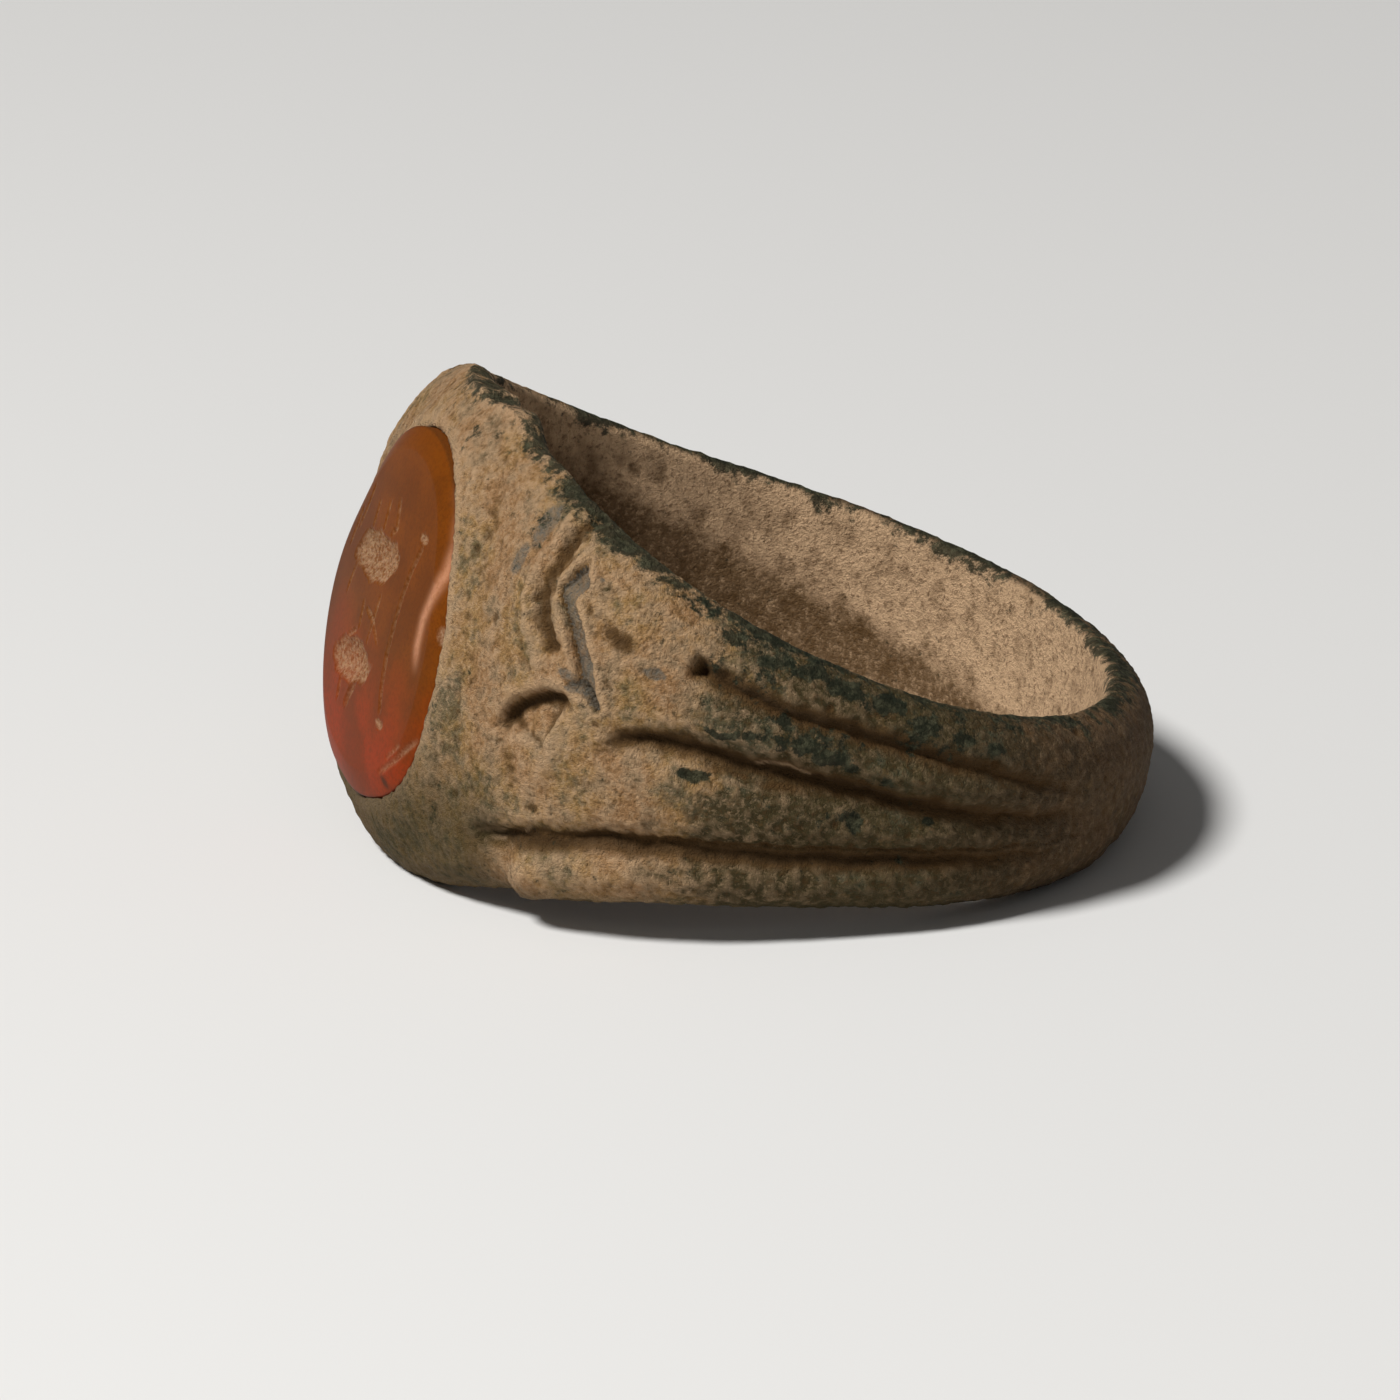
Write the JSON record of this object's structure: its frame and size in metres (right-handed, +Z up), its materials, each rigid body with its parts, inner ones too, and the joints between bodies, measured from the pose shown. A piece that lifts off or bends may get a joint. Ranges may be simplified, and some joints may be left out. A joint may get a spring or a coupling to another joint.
{
  "type": "seal ring",
  "caption": "Ancient bronze seal ring with ribbed shoulders and an engraved orange carnelian set in its bezel, lying on its side with a sandy patina.",
  "frame": {"origin": "on the floor under the middle of the lying ring", "axes": "+Z up, +X from the bezel towards the back of the hoop, +Y away from the shoulder that the picture shows"},
  "size_m": [0.021, 0.0218, 0.012],
  "materials": {
    "bronze": "corroded, with a sandy patina",
    "carnelian": "worn polish"
  },
  "bodies": {
    "root": {"bronze_ring": "bronze", "carnelian_stone": "carnelian"}
  },
  "joints": []
}
